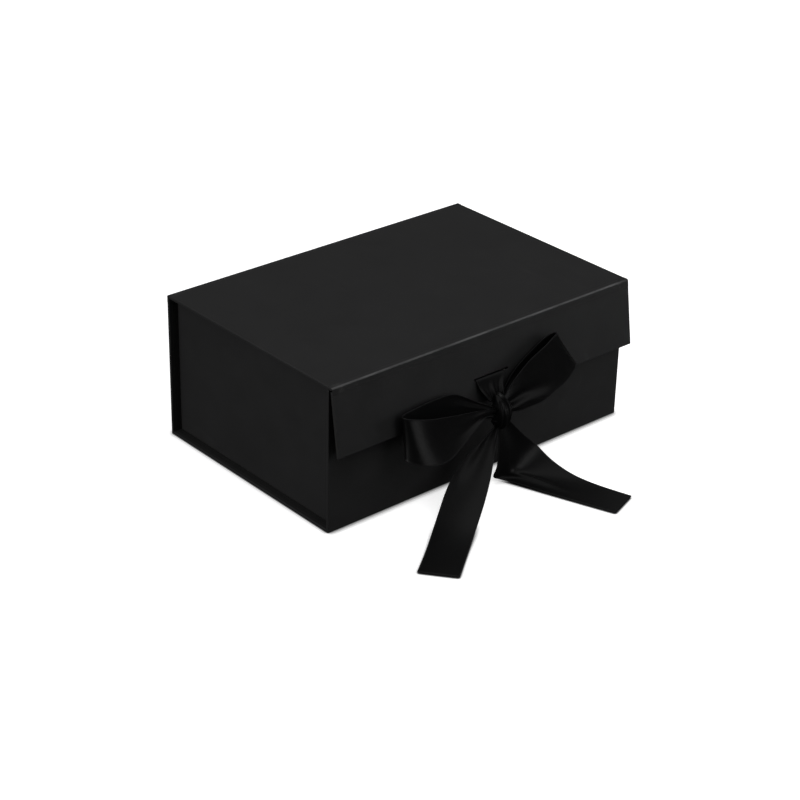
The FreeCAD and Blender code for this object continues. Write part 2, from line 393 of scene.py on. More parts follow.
def ribbon_piece(name, edge_a, edge_b, relief=None, columns=28):
    """A ribbon laid between two edge curves, as a thin closed sheet.

    Both edges are cubic splines on shared knots, spaced by the chords of the line midway between
    them. A point is the straight blend of the two edges plus relief(s, w), a rise in millimetres
    along the surface's normal, where s runs from 0 to 1 along the ribbon and w across it. Half
    the thickness is laid on each side, with a bead along both woven edges.
    """
    settings = bpy.context.scene.gift_box_ribbon
    edge_a, edge_b = np.asarray(edge_a, float), np.asarray(edge_b, float)
    knots = run_along((edge_a + edge_b) / 2)
    rows = max(8, int(knots[-1] / 10 * settings.rows_per_cm))
    at = np.linspace(0, knots[-1], rows)
    side_a, side_b = spline(knots, edge_a, at), spline(knots, edge_b, at)
    even = np.linspace(0, 1, columns)
    across = 0.6 * (1 - np.cos(even * math.pi)) / 2 + 0.4 * even
    w = across[None, :]
    s = (at / knots[-1])[:, None]
    surface = side_a[:, None] * (1 - w[..., None]) + side_b[:, None] * w[..., None]

    def normals(grid):
        return unit(np.cross(np.gradient(grid, axis=0), np.gradient(grid, axis=1)))

    if relief is not None:
        surface = surface + normals(surface) * relief(s, w)[..., None]
    from_edge = np.minimum(w, 1 - w) * settings.width / MM
    half = (settings.thickness + settings.bead * bump(from_edge, 0, BEAD_REACH)) / MM / 2
    half = np.broadcast_to(half, surface.shape[:2])[..., None]
    normal = normals(surface)
    front, back = surface + normal * half, surface - normal * half
    points = np.concatenate([front, back[:, ::-1]], axis=1)
    run = run_along(surface[:, columns // 2])
    u = np.concatenate([across, across[::-1]]) * settings.width / MM
    uv = np.stack(np.broadcast_arrays(u[None, :], run[:, None]), -1).reshape(-1, 2)
    return make_piece(name, points.reshape(-1, 3), strip_faces(rows, columns), None, uv)


def soft_step(value, low, high):
    """Nought below low, one above high, and a smooth cubic between."""
    t = np.clip((value - low) / (high - low), 0, 1)
    return t * t * (3 - 2 * t)


def bump(value, middle, spread):
    """A bell curve about middle."""
    return np.exp(-((value - middle) / spread) ** 2)


# ---------------------------------------------------------------- materials


def socket(group, name, kind, default=None, out=False):
    """One named socket of a node group."""
    made = group.interface.new_socket(
        name=name, in_out="OUTPUT" if out else "INPUT", socket_type="NodeSocket" + kind)
    if default is not None:
        made.default_value = default
    return made


class Tree:
    """Short ways to add and join nodes in one node tree."""

    def __init__(self, tree):
        self.tree = tree

    def node(self, kind, **inputs):
        """A node with sockets set by name. A node socket is linked, and anything else is a value."""
        made = self.tree.nodes.new("ShaderNode" + kind)
        for name, value in inputs.items():
            self.put(made, name.replace("_", " "), value)
        return made

    def put(self, node, name, value):
        """Sets or links one input socket."""
        self.join(node.inputs[int(name)] if name.isdigit() else node.inputs[name], value)

    def join(self, target, value):
        """Links a node socket to the target, or sets the target to a plain value."""
        if isinstance(value, bpy.types.NodeSocket):
            self.tree.links.new(value, target)
        else:
            target.default_value = value

    def maths(self, operation, first, second=0.0, third=None):
        """One Math node's result."""
        made = self.tree.nodes.new("ShaderNodeMath")
        made.operation = operation
        self.put(made, "0", first)
        self.put(made, "1", second)
        if third is not None:
            self.put(made, "2", third)
        return made.outputs[0]

    def noise(self, vector, scale, detail=2.0, roughness=0.5):
        """A noise texture's value."""
        made = self.node("TexNoise", Vector=vector, Scale=scale, Detail=detail, Roughness=roughness)
        return made.outputs["Fac"]

    def ramp(self, value, low=0.0, high=1.0, to_low=0.0, to_high=1.0):
        """Value carried from low..high to to_low..to_high, clamped."""
        made = self.tree.nodes.new("ShaderNodeMapRange")
        self.put(made, "Value", value)
        self.put(made, "From Min", low)
        self.put(made, "From Max", high)
        self.put(made, "To Min", to_low)
        self.put(made, "To Max", to_high)
        return made.outputs["Result"]

    def mix(self, share, first, second):
        """Two colours mixed."""
        made = self.tree.nodes.new("ShaderNodeMix")
        made.data_type = "RGBA"
        self.tree.links.new(share, made.inputs["Factor"])
        for name, value in (("A", first), ("B", second)):
            self.join([i for i in made.inputs if i.name == name and i.type == "RGBA"][0], value)
        return [o for o in made.outputs if o.type == "RGBA"][0]


def new_group(name, inputs, outputs):
    """A node group with named inputs and outputs, and its Tree and end nodes."""
    group = bpy.data.node_groups.new(name, "ShaderNodeTree")
    for label, kind, default in inputs:
        socket(group, label, kind, default)
    for label, kind in outputs:
        socket(group, label, kind, out=True)
    start = group.nodes.new("NodeGroupInput")
    end = group.nodes.new("NodeGroupOutput")
    return group, Tree(group), start, end


def paper_grain_group():
    """Fine paper grain over slow ripples of the glued sheet: two noises, weighted and added."""
    group, tree, start, end = new_group(
        "Paper grain",
        [("Vector", "Vector", None), ("Grain size", "Float", 2600.0), ("Ripple", "Float", 0.5)],
        [("Height", "Float"), ("Tone", "Float")])
    vector, size, ripple = (start.outputs[n] for n in ("Vector", "Grain size", "Ripple"))
    fine = tree.noise(vector, size, 3.0, 0.6)
    slow = tree.noise(vector, 26.0, 1.0, 0.4)
    height = tree.maths("MULTIPLY_ADD", slow, ripple, tree.maths("MULTIPLY", fine, 0.12))
    cloud = tree.noise(vector, 55.0, 3.0, 0.55)
    tone = tree.maths("MULTIPLY_ADD", fine, 0.4, tree.maths("MULTIPLY", cloud, 0.6))
    tree.put(end, "Height", height)
    tree.put(end, "Tone", tone)
    return group


def scuff_group():
    """Faint rubbed streaks: a stretched noise kept only where a slow noise is high."""
    group, tree, start, end = new_group(
        "Scuffs",
        [("Vector", "Vector", None), ("Scale", "Float", 90.0), ("Amount", "Float", 0.5)],
        [("Mask", "Float")])
    vector, scale, amount = (start.outputs[n] for n in ("Vector", "Scale", "Amount"))
    stretch = tree.node("Mapping", Vector=vector, Rotation=(0.3, 0.5, 0.7), Scale=(1.0, 0.12, 0.5))
    streak = tree.ramp(tree.noise(stretch.outputs[0], scale, 4.0, 0.65), 0.58, 0.78)
    where = tree.ramp(tree.noise(vector, 9.0, 1.0), 0.45, 0.7)
    mask = tree.maths("MULTIPLY", tree.maths("MULTIPLY", streak, where), amount)
    tree.put(end, "Mask", mask)
    return group


def weave_group():
    """Satin weave: threads across and along as two sine waves of the ribbon's own coordinates.

    The thread height is the sine of the distance along times the thread count, broken by a slower
    sine across whose phase shifts from thread to thread, as floats do in satin.
    """
    group, tree, start, end = new_group(
        "Satin weave",
        [("UV", "Vector", None), ("Threads", "Float", 18.0)],
        [("Height", "Float"), ("Tone", "Float"), ("Edge", "Float")])
    uv, threads = start.outputs["UV"], start.outputs["Threads"]
    parts = tree.node("SeparateXYZ", Vector=uv)
    across, along = parts.outputs["X"], parts.outputs["Y"]
    turn = tree.maths("MULTIPLY", threads, math.tau)
    rib = tree.maths("SINE", tree.maths("MULTIPLY", along, tree.maths("MULTIPLY", turn, 0.12)))
    thread = tree.maths("SINE", tree.maths("MULTIPLY", across, tree.maths("MULTIPLY", turn, 0.22)))
    streaks = tree.node("Mapping", Vector=uv, Scale=(7.0, 0.35, 1.0))
    long_noise = tree.noise(streaks.outputs[0], 1.0, 2.0, 0.6)
    height = tree.maths("MULTIPLY_ADD", rib, 0.5, tree.maths("MULTIPLY", thread, 0.35))
    height = tree.maths("MULTIPLY_ADD", long_noise, 0.6, height)
    half_width = bpy.context.scene.gift_box_ribbon.width / MM / 2
    middle = tree.maths("ABSOLUTE", tree.maths("SUBTRACT", across, half_width))
    edge = tree.ramp(middle, half_width - 0.8, half_width - 0.4)
    tree.put(end, "Height", height)
    tree.put(end, "Tone", long_noise)
    tree.put(end, "Edge", edge)
    return group


def fibre_group():
    """Pressed fibres: a stretched noise crossed with a second one, and dark and pale specks."""
    group, tree, start, end = new_group(
        "Fibres",
        [("Vector", "Vector", None), ("Scale", "Float", 700.0)],
        [("Height", "Float"), ("Specks", "Float")])
    vector, scale = start.outputs["Vector"], start.outputs["Scale"]
    one = tree.node("Mapping", Vector=vector, Scale=(1.0, 0.25, 0.5))
    two = tree.node("Mapping", Vector=vector, Rotation=(0.9, 0.2, 1.2), Scale=(0.3, 1.0, 0.6))
    crossed = tree.maths("ADD", *(tree.noise(m.outputs[0], scale, 4.0) for m in (one, two)))
    specks = tree.ramp(tree.noise(vector, 1400.0, 1.0), 0.62, 0.7)
    tree.put(end, "Height", tree.maths("MULTIPLY", crossed, 0.5))
    tree.put(end, "Specks", specks)
    return group


GROUPS = {}


def shared(name):
    """The shared effect of that name, built once."""
    makers = {"grain": paper_grain_group, "scuffs": scuff_group, "weave": weave_group, "fibres": fibre_group}
    if name not in GROUPS:
        GROUPS[name] = makers[name]()
    return GROUPS[name]


def new_material(name, **fixed):
    """A material with one Principled shader. fixed values go straight onto the shader's sockets."""
    material = bpy.data.materials.new(name)
    material.use_nodes = True
    tree = Tree(material.node_tree)
    shader = material.node_tree.nodes["Principled BSDF"]
    for label, value in fixed.items():
        shader.inputs[label.replace("_", " ")].default_value = value
    return material, tree, shader


def place_group(tree, name, **inputs):
    """A shared effect placed in a material with its own values."""
    made = tree.tree.nodes.new("ShaderNodeGroup")
    made.node_tree = shared(name)
    for label, value in inputs.items():
        tree.put(made, label.replace("_", " "), value)
    return made


def bump_normal(tree, height, strength, distance):
    """A Bump node's normal from a height."""
    return tree.node("Bump", Height=height, Strength=strength, Distance=distance).outputs["Normal"]


def tinted(colour, factor):
    """A colour made lighter or darker by a factor, and opaque."""
    return [min(1.0, c * factor) for c in colour[:3]] + [1.0]


def paper_material(name, colour, grain, ripple, rough_low, rough_high, scuff, specular):
    """Matt paper: grain and ripples in its height, cloudy tone, and faint scuffs that shine."""
    material, tree, shader = new_material(name, Specular_IOR_Level=specular)
    spot = tree.node("TexCoord").outputs["Object"]
    paper = place_group(tree, "grain", Vector=spot, Grain_size=grain, Ripple=ripple)
    scuffs = place_group(tree, "scuffs", Vector=spot, Scale=140.0, Amount=scuff)
    cloudy = tree.ramp(paper.outputs["Tone"], 0.3, 0.7)
    tone = tree.mix(cloudy, tinted(colour, 0.88), tinted(colour, 1.12))
    tree.put(shader, "Base Color", tree.mix(scuffs.outputs["Mask"], tone, tinted(colour, 2.1)))
    tree.put(shader, "Roughness", tree.ramp(paper.outputs["Tone"], 0.0, 1.0, rough_low, rough_high))
    tree.put(shader, "Normal", bump_normal(tree, paper.outputs["Height"], 0.22, 0.00012))
    return material


def painted_crease_highlight_material(colour):
    """The wrap's paper with a painted highlight: its folded ridge is painted pale, where u is the distance
    across from it.
    """
    material = paper_material("crease_painted_highlight_paper", colour, 2600.0, 0.5, 0.34, 0.46, 0.5, 0.3)
    tree = Tree(material.node_tree)
    shader = material.node_tree.nodes["Principled BSDF"]
    plain = shader.inputs["Base Color"].links[0].from_socket
    spot = tree.node("TexCoord").outputs["UV"]
    across = tree.maths("ABSOLUTE", tree.node("SeparateXYZ", Vector=spot).outputs["X"])
    patchy = tree.noise(spot, 0.035, 2.0)
    # Painted highlight: the base colour turns pale in patches along the fold's ridge.
    ridge = tree.maths("MULTIPLY", tree.ramp(across, 0.85, 0.45), tree.ramp(patchy, 0.25, 0.6))
    tree.put(shader, "Base Color", tree.mix(ridge, plain, tinted(colour, 5.0)))
    return material


def board_material():
    """Grey board: crossed fibres with pale and dark specks."""
    material, tree, shader = new_material("grey_board", Specular_IOR_Level=0.2)
    spot = tree.node("TexCoord").outputs["Object"]
    fibres = place_group(tree, "fibres", Vector=spot, Scale=520.0)
    base = tree.mix(tree.ramp(fibres.outputs["Height"], 0.35, 0.65),
                    (0.20, 0.19, 0.17, 1.0), (0.36, 0.35, 0.32, 1.0))
    tree.put(shader, "Base Color", tree.mix(fibres.outputs["Specks"], base, (0.10, 0.09, 0.08, 1.0)))
    tree.put(shader, "Roughness", tree.ramp(fibres.outputs["Height"], -1.6, 1.0))
    tree.put(shader, "Normal", bump_normal(tree, fibres.outputs["Height"], 0.5, 0.0002))
    return material


def card_material():
    """Black card of the corner tabs: fibres under a flat black."""
    material, tree, shader = new_material("black_card", Specular_IOR_Level=0.25)
    spot = tree.node("TexCoord").outputs["Object"]
    fibres = place_group(tree, "fibres", Vector=spot, Scale=900.0)
    pressed = tree.ramp(fibres.outputs["Height"], 0.3, 0.7)
    deep, pale = (0.010, 0.010, 0.010, 1.0), (0.017, 0.017, 0.016, 1.0)
    tree.put(shader, "Base Color", tree.mix(pressed, deep, pale))
    tree.put(shader, "Roughness", tree.ramp(fibres.outputs["Height"], -1.2, 1.2))
    tree.put(shader, "Normal", bump_normal(tree, fibres.outputs["Height"], 0.35, 0.0001))
    return material


def tape_material():
    """Milky double-sided tape with fine bubbles in its glue."""
    material, tree, shader = new_material("adhesive_tape", Specular_IOR_Level=0.5)
    spot = tree.node("TexCoord").outputs["Object"]
    bubbles = tree.ramp(tree.noise(spot, 900.0, 2.0), 0.45, 0.7)
    tree.put(shader, "Base Color", tree.mix(bubbles, (0.70, 0.68, 0.60, 1.0), (0.86, 0.85, 0.80, 1.0)))
    tree.put(shader, "Roughness", tree.ramp(tree.noise(spot, 300.0, 2.0), -0.2, 1.6))
    tree.put(shader, "Normal", bump_normal(tree, bubbles, 0.3, 0.00005))
    return material


def steel_material():
    """Nickel-plated steel discs: turned rings and fine pits."""
    material, tree, shader = new_material("nickel_steel", Metallic=1.0)
    spot = tree.node("TexCoord").outputs["Object"]
    stretch = tree.node("Mapping", Vector=spot, Scale=(1.0, 0.2, 6.0))
    brushed = tree.noise(stretch.outputs[0], 1800.0, 3.0, 0.6)
    tree.put(shader, "Base Color", tree.mix(brushed, (0.50, 0.49, 0.46, 1.0), (0.68, 0.67, 0.63, 1.0)))
    tree.put(shader, "Roughness", tree.ramp(brushed, -0.6, 2.2))
    tree.put(shader, "Normal", bump_normal(tree, brushed, 0.15, 0.00004))
    return material


def satin_material(name, colour):
    """Black satin: fine ribs and threads, tone drifting along the floats, and a duller woven edge."""
    material, tree, shader = new_material(
        name, Specular_IOR_Level=0.17, Sheen_Weight=0.01, Sheen_Roughness=0.35)
    spot = tree.node("TexCoord").outputs["UV"]
    weave = place_group(tree, "weave", UV=spot, Threads=18.0)
    tone = tree.mix(weave.outputs["Tone"], tinted(colour, 0.6), tinted(colour, 1.7))
    tree.put(shader, "Base Color", tree.mix(weave.outputs["Edge"], tone, tinted(colour, 3.2)))
    rough = tree.ramp(weave.outputs["Tone"], 0.0, 1.0, 0.28, 0.38)
    tree.put(shader, "Roughness", tree.maths("MULTIPLY_ADD", weave.outputs["Edge"], 0.18, rough))
    tree.put(shader, "Normal", bump_normal(tree, weave.outputs["Height"], 0.12, 0.00005))
    return material


def floor_material(colour):
    """A pale matt floor with a trace of grain.

    Seen directly it is bright and a little lit of itself, with a painted contact shadow, a dark line where
    the box and the ribbon stand on it. Shiny surfaces and bounced light meet a dark floor instead.
    """
    glow, dark, contact = 0.7, (0.06, 0.06, 0.06, 1.0), 6 * MM
    material, tree, shader = new_material("floor_paper", Roughness=0.9, Specular_IOR_Level=0.1,
                                          Emission_Color=(1.0, 1.0, 1.0, 1.0), Emission_Strength=glow)
    spot = tree.node("TexCoord").outputs["Object"]
    grain = place_group(tree, "grain", Vector=spot, Grain_size=400.0, Ripple=0.3)
    tree.put(shader, "Base Color", tree.mix(grain.outputs["Tone"], tinted(colour, 0.985), list(colour)))
    # Painted contact shadow: where an occlusion test finds the box or ribbon close, the floor turns to dark
    # diffuse.
    near = tree.node("AmbientOcclusion", Distance=contact)
    clear_of_painted_shadow = tree.ramp(near.outputs["AO"], 0.45, 0.95)
    seen = tree.node("LightPath").outputs["Is Camera Ray"]
    blend = tree.tree.nodes.new("ShaderNodeMixShader")
    tree.put(blend, "0", tree.maths("MULTIPLY", seen, clear_of_painted_shadow))
    tree.put(blend, "1", tree.node("BsdfDiffuse", Color=dark).outputs[0])
    tree.put(blend, "2", shader.outputs[0])
    tree.put(material.node_tree.nodes["Material Output"], "Surface", blend.outputs[0])
    return material


MATERIALS = {}


def finish_of(name):
    """One finish's material, made once."""
    paper = bpy.context.scene.gift_box_paper
    ribbon = bpy.context.scene.gift_box_ribbon
    makers = {
        "wrap_paper": lambda: paper_material(
            "matt_wrap_paper", paper.wrap_colour, 2600.0, 0.5, 0.40, 0.52, 0.5, 0.24),
        "liner_paper": lambda: paper_material(
            "lining_paper", paper.lining_colour, 1500.0, 0.3, 0.62, 0.78, 0.2, 0.22),
        "crease_painted_highlight_paper": lambda: painted_crease_highlight_material(paper.wrap_colour),
        "greyboard": board_material,
        "tab_card": card_material,
        "adhesive_tape": tape_material,
        "nickel_steel": steel_material,
        "satin_ribbon": lambda: satin_material("black_satin", ribbon.colour),
        # Lighter satin for the tails: a painted sheen.
        "hung_satin_painted_sheen": lambda: satin_material("black_satin_painted_sheen", ribbon.tail_painted_sheen_colour)}
    if name not in MATERIALS:
        MATERIALS[name] = makers[name]()
    return MATERIALS[name]


def dress(piece, slot, body, *stands_for, finish=None):
    """Gives a piece the finish named by finish or else by slot, puts it on the body it rides on and hides
    the nodes that it stands for.
    """
    piece.data.materials.clear()
    piece.data.materials.append(finish_of(finish or slot))
    if body:
        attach(piece, body)
    if stands_for:
        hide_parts(*stands_for)


def paint_node(name, slot):
    """Gives a kept node its finish."""
    node = NODES[name]
    node.data.materials.clear()
    node.data.materials.append(finish_of(slot))


# ---------------------------------------------------------------- panels


def node_box(name):
    """A node's lowest and highest corners in millimetres."""
    low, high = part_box(name)
    return np.array(low) / MM, np.array(high) / MM


def build_panel(panel, body, margins=None):
    """One wrapped panel: its cover and the lining on its inner face.

    The cover fills the wrap and the board's edges. The lining stops short of the panel's edges by
    the margin, except where another panel covers them.
    """
    settings = bpy.context.scene.gift_box_paper
    wrap_low, wrap_high = node_box(panel + "_wrap")
    liner_low, liner_high = node_box(panel + "_liner")
    thin = int(np.argmin(liner_high - liner_low))
    low, high = liner_low.copy(), liner_high.copy()
    inward = 1 if liner_low[thin] > wrap_low[thin] + PAPER / 2 else -1
    if inward > 0:
        low[thin], high[thin] = wrap_low[thin], liner_low[thin] + TURN_IN
    else:
        low[thin], high[thin] = liner_high[thin] - TURN_IN, wrap_high[thin]
    cover = slab(panel + "_cover", low, high, settings.edge_radius / MM)
    dress(cover, "wrap_paper", body, panel + "_wrap")
    margin = settings.lining_margin / MM
    low, high = liner_low.copy(), liner_high.copy()
    for axis in range(3):
        if axis != thin:
            low[axis] += margin
            high[axis] -= margin
    for axis, side, gap in margins or ():
        if side < 0:
            low[axis] = liner_low[axis] + gap
        else:
            high[axis] = liner_high[axis] - gap
    if inward > 0:
        low[thin] += TURN_IN - LINING_SINK
    else:
        high[thin] -= TURN_IN - LINING_SINK
    lining = slab(panel + "_lining", low, high, LINING_RADIUS, 2)
    dress(lining, "liner_paper", body, panel + "_liner")


def crease_strip(name, profile, inner_point, x_half, steps=40, stations=26):
    """The paper over a fold: a curved profile carried along X, nearly a paper's thickness deep.

    The profile is a list of (y, z) points on the outside. A spline through them gives the line,
    and the other face lies behind it, on the side of inner_point.
    """
    profile = np.asarray(profile, float)
    knots = run_along(profile)
    line = spline(knots, profile, np.linspace(0, knots[-1], steps))
    along = unit(np.gradient(line, axis=0))
    inside = np.stack([-along[:, 1], along[:, 0]], -1)
    middle = steps // 2
    if ((np.array(inner_point) - line[middle]) * inside[middle]).sum() < 0:
        inside = -inside
    loop = np.concatenate([line, (line + inside * PAPER * 0.8)[::-1]])
    x = np.linspace(-x_half, x_half, stations)
    points = np.concatenate([np.column_stack([np.full(len(loop), v), loop]) for v in x])
    run = run_along(line)
    ridge = np.linalg.norm(line - profile[len(profile) // 2], axis=1).argmin()
    across = np.concatenate([run, run[::-1]]) - run[ridge]
    uv = np.stack(np.broadcast_arrays(across[None, :], x[:, None]), -1).reshape(-1, 2)
    strip = make_piece(name, points, strip_faces(stations, steps), None, uv)
    # The fold's paper carries a painted highlight along its ridge.
    dress(strip, "wrap_paper", None, finish="crease_painted_highlight_paper")
    return strip


class GIFTBOX_OT_tray(bpy.types.Operator):
    """Build the wrapped front wall, base, spine and side walls"""

    bl_idname = "gift_box.tray"
    bl_label = "Tray panels"

    def execute(self, context):
        build_panel("base", "tray", [(1, -1, 0.2), (1, 1, 0.2)])
        build_panel("front", "tray", [(2, -1, PANEL - PAPER)])
        build_panel("spine", "tray", [(2, -1, PANEL - PAPER)])
        for side in ("left_side", "right_side"):
            build_panel(side, "tray", [(1, -1, 0.4), (1, 1, 0.4), (2, -1, 0.2)])
        return {"FINISHED"}


class GIFTBOX_OT_lid(bpy.types.Operator):
    """Build the wrapped lid and the fold at its back"""

    bl_idname = "gift_box.lid"
    bl_label = "Lid"

    def execute(self, context):
        build_panel("lid", "lid")
        reach = context.scene.gift_box_paper.crease_reach / MM
        out, up = SPINE_Y + CREASE_PROUD, FOLD_Z + CREASE_PROUD
        turn = CREASE_ROUND + 0.1
        profile = [
            (SPINE_Y - 0.06, FOLD_Z - PANEL - reach), (out, FOLD_Z - PANEL - reach + 0.8),
            (out, FOLD_Z - PANEL), (out, FOLD_Z - turn), (SPINE_Y - 0.2, FOLD_Z - 0.2),
            (SPINE_Y - turn, up), (SPINE_Y - PANEL, up), (SPINE_Y - reach, up),
            (SPINE_Y - reach - 0.8, FOLD_Z - 0.06)]
        x_half = node_box("lid_wrap")[1][0] - CREASE_INSET
        strip = crease_strip("lid_crease", profile, (SPINE_Y - 3, FOLD_Z - 3), x_half)
        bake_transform(strip)
        return {"FINISHED"}


class GIFTBOX_OT_flap(bpy.types.Operator):
    """Build the slotted front flap and the fold at the lid's front"""

    bl_idname = "gift_box.flap"
    bl_label = "Flap"

    def execute(self, context):
        settings = context.scene.gift_box_paper
        half_x = node_box("lid_wrap")[1][0]
        slot_half = (SLOT_LENGTH / 2, SLOT_HEIGHT / 2)
        low_z, high_z, slot_z = FOLD_Z - FLAP_HEIGHT, FOLD_Z - FLAP_TOP, FOLD_Z - SLOT_DROP
        cover_back = FOLD_Y + PANEL - PAPER + TURN_IN
        cover = slotted_plate("flap_cover", half_x, low_z, high_z, FOLD_Y, cover_back,
                              settings.edge_radius / MM, slot_z, slot_half, 0.12)
        dress(cover, "wrap_paper", "flap", "flap_wrap")
        margin = settings.lining_margin / MM
        wider = tuple(half + 0.3 for half in slot_half)
        lining = slotted_plate("flap_lining", half_x - margin, low_z + margin, high_z - margin,
                               cover_back - LINING_SINK, FOLD_Y + PANEL, LINING_RADIUS, slot_z, wider, 0.04)
        dress(lining, "liner_paper", "flap", "flap_liner")
        reach = settings.crease_reach / MM

        def down(drop, out):
            spot = on_flap((0, out, drop))
            return float(spot[1]), float(spot[2])

        up = FOLD_Z + CREASE_PROUD
        profile = [
            (FOLD_Y + reach + 0.8, FOLD_Z - 0.06), (FOLD_Y + reach, up), (FOLD_Y + PANEL, up),
            (FOLD_Y + CREASE_ROUND + 0.1, up), (FOLD_Y + 0.17, FOLD_Z - 0.22),
            down(CREASE_ROUND + 0.15, CREASE_PROUD), down(PANEL, CREASE_PROUD),
            down(PANEL + reach - 0.8, CREASE_PROUD), down(PANEL + reach, -0.06)]
        strip = crease_strip("flap_crease", profile, (FOLD_Y + 3, FOLD_Z - 3), half_x - CREASE_INSET)
        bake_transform(strip)
        return {"FINISHED"}


class GIFTBOX_OT_fittings(bpy.types.Operator):
    """Finish the boards, corner tabs, tape, catch discs and magnets"""

    bl_idname = "gift_box.fittings"
    bl_label = "Boards and fittings"

    def execute(self, context):
        endings = {"_board": "greyboard", "_tab": "tab_card", "_tape": "adhesive_tape",
                   "_magnet": "nickel_steel", "_catch_disc": "nickel_steel"}
        for name in NODES:
            for ending, slot in endings.items():
                if name.endswith(ending):
                    paint_node(name, slot)
        return {"FINISHED"}


# ---------------------------------------------------------------- ribbon


def ribbon_part(name, edges, held, body, node, relief=None):
    """One length of ribbon: built, finished and put on its body."""
    piece = ribbon_piece(name, edges[0], edges[1], relief)
    # The hung tails take the lighter satin, a painted sheen.
    finish = "hung_satin_painted_sheen" if held == "hung" else "satin_ribbon"
    dress(piece, "satin_ribbon", body, node, finish=finish)


def build_strap():
    """The ribbon from the slot to the knot, drawn together downwards with two long pleats."""
    left = on_flap([(-13.4, -2.0, 28.7), (-13.4, 0.3, 28.9), (-13.2, 1.4, 31.0), (-12.6, 3.2, 35.0),
                    (-11.2, 5.8, 39.2), (-9.6, 7.4, 42.8)])
    right = on_flap([(10.4, -2.0, 28.7), (10.2, 0.3, 28.9), (9.2, 1.5, 30.2), (6.0, 3.6, 33.8),
                     (3.2, 6.2, 38.3), (2.0, 7.6, 42.8)])

    def pleats(s, w):
        gather = soft_step(s, 0.25, 0.95)
        return gather * (0.9 * np.sin(math.tau * 2.2 * w + 0.6) + 0.5 * np.sin(math.tau * 4.4 * w))

    ribbon_part("strap_ribbon", (left, right), "stretched", "flap",
                "ribbon_strap", pleats)


def build_ribbon_end():
    """The ribbon's glued end inside the flap, flat against the lining."""
    inner = -(PANEL + 0.28)
    left = on_flap([(-12.5, inner, 29.0), (-12.5, inner, 22.0), (-12.5, inner, 15.0), (-12.5, inner, 9.0)])
    right = on_flap([(12.5, inner, 29.0), (12.5, inner, 22.0), (12.5, inner, 15.0), (12.5, inner, 9.6)])
    ribbon_part("ribbon_end", (left, right), "laid", "flap", "ribbon_anchor")


def build_knot():
    """The knot: a gathered band wrapped over the middle of the bow from top to bottom."""
    left = on_flap([(-5.6, 3.2, 43.0), (-5.8, 6.2, 39.6), (-6.4, 10.4, 40.6), (-7.0, 13.2, 44.8),
                    (-7.4, 14.4, 50.5), (-7.4, 13.6, 57.0), (-6.8, 10.4, 61.2), (-6.2, 6.0, 60.8),
                    (-5.8, 3.6, 57.0)])
    right = on_flap([(-1.4, 3.0, 43.6), (-0.8, 6.4, 40.2), (1.6, 10.2, 41.8), (5.6, 12.0, 45.6),
                     (6.6, 12.4, 50.0), (5.8, 11.6, 54.6), (2.6, 9.4, 58.2), (-0.8, 6.0, 59.0),
                     (-1.8, 3.4, 56.6)])

    def pleats(s, w):
        crown = 1.2 * (1 - (2 * w - 1) ** 2)
        folds = np.sin(math.tau * (2.1 * w + 0.35 * s)) + 0.6 * np.sin(math.tau * (4.6 * w - 0.5 * s))
        tucked = 6.9 * (soft_step(w, 0.2, 0.0) + soft_step(w, 0.8, 1.0))
        return crown + folds * (1 - soft_step(abs(2 * w - 1), 0.7, 1.0)) - tucked

    ribbon_part("knot_ribbon", (left, right), "folded",
                "flap", "bow_knot", pleats)


def build_left_loop():
    """The left loop: out along the front, round a cone-shaped end, and back along the flap."""
    top = on_flap([(-7.0, 9.0, 47.0), (-16.4, 11.4, 44.6), (-27.2, 12.6, 42.2), (-39.8, 13.2, 40.1),
                   (-52.0, 13.4, 37.8), (-62.0, 13.2, 35.8), (-70.0, 12.2, 33.8), (-76.0, 10.2, 32.2),
                   (-79.0, 7.6, 31.2), (-78.4, 5.2, 30.8), (-70.0, 4.0, 30.0), (-57.0, 3.8, 29.2),
                   (-44.0, 3.8, 29.2), (-33.6, 4.4, 30.8), (-22.4, 6.0, 37.6), (-8.0, 9.0, 46.0)])
    bottom = on_flap([(-7.0, 9.4, 52.0), (-17.6, 13.2, 48.8), (-26.8, 16.0, 50.4), (-37.0, 18.4, 54.2),
                      (-47.0, 20.2, 58.6), (-57.0, 21.0, 62.6), (-65.4, 20.0, 63.4), (-72.4, 17.4, 62.2),
                      (-77.8, 13.4, 60.4), (-80.6, 8.8, 58.6), (-75.0, 4.6, 57.2), (-60.0, 2.2, 55.8),
                      (-46.0, 1.6, 54.6), (-33.0, 2.4, 53.8), (-20.0, 4.8, 53.0), (-8.0, 8.6, 53.0)])

    def pleats(s, w):
        front = 1 - soft_step(s, 0.05, 0.32)
        back = soft_step(s, 0.7, 0.97)
        belly = 1.6 * np.sin(math.pi * w) * bump(s, 0.26, 0.16)
        ridge = 1.1 * bump(w, 0.35 + 0.3 * s, 0.16) - 1.0 * bump(w, 0.72, 0.14)
        return front * ridge + back * 0.7 * np.sin(math.tau * 2 * w) - belly

    ribbon_part("left_loop_ribbon", (top, bottom), "folded", "flap",
                "left_loop", pleats)


